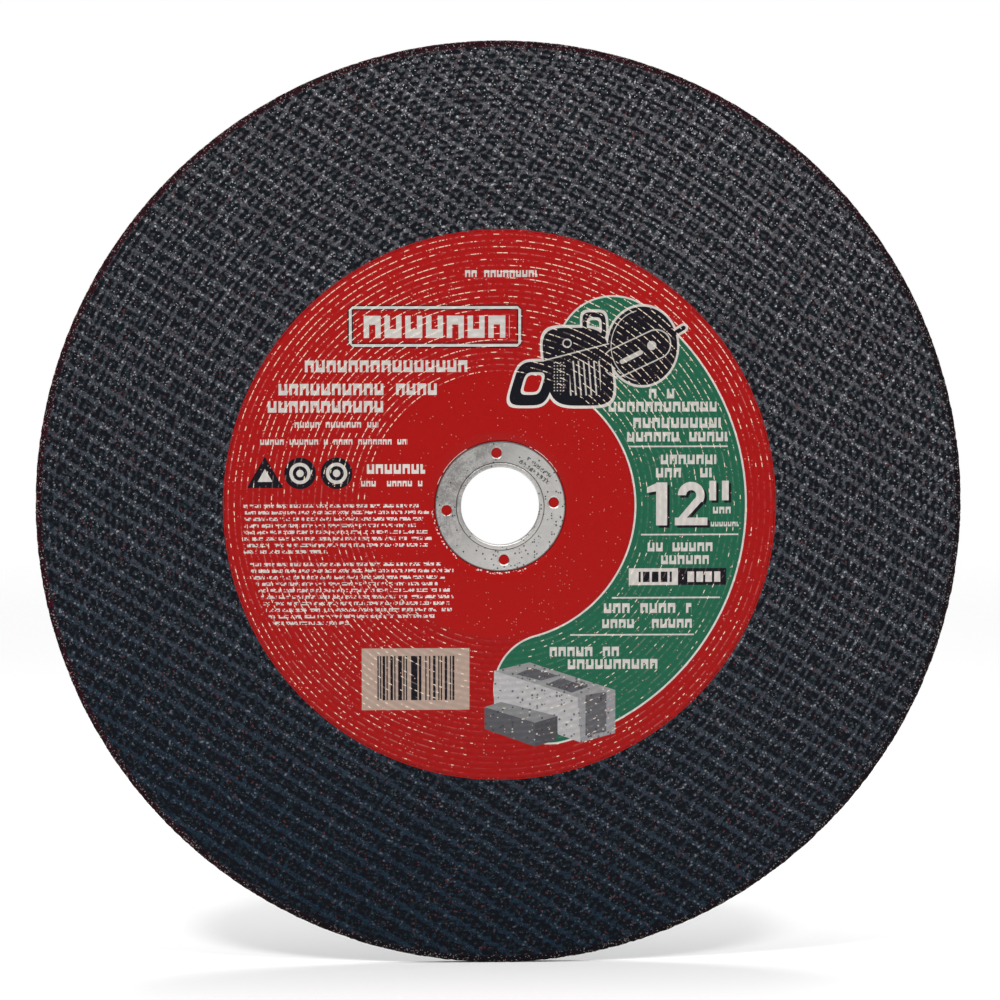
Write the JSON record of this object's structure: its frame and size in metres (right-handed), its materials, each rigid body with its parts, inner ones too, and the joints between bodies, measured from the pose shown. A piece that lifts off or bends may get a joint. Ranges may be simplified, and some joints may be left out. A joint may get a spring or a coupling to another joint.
{
  "type": "abrasive cutting wheel",
  "caption": "Flat resin-bonded abrasive wheel with glass-mesh plies, a printed paper label, a rear blotter and a steel-lined bore, for a masonry saw's arbor.",
  "frame": {"origin": "centre of the bore at the wheel's mid-thickness", "axes": "+Y along the spin axis, from the printed front towards the back, so the label faces -Y; +Z is the print's up; +X is to the right of a person who reads the label"},
  "size_m": [0.3, 0.004, 0.3],
  "materials": {
    "plated_steel": "bright zinc-plated sheet, lightly scuffed",
    "printed_paper": "red and green print, moulded down onto the ridges and worn to cream along their tops",
    "abrasive_mix": "coarse dark silicon carbide grit in resin, matte with fine sparkles",
    "glass_mesh": "resin-dipped woven glass yarn",
    "blotter_paper": "plain soft grey blotting paper"
  },
  "bodies": {
    "root": {"arbor_washer": "plated_steel", "arbor_eyelet": "plated_steel", "front_label": "printed_paper", "front_abrasive_skin": "abrasive_mix", "front_glass_mesh": "glass_mesh", "front_abrasive_core": "abrasive_mix", "centre_glass_mesh": "glass_mesh", "rear_abrasive_core": "abrasive_mix", "rear_glass_mesh": "glass_mesh", "rear_abrasive_skin": "abrasive_mix", "rear_blotter": "blotter_paper"}
  },
  "joints": []
}
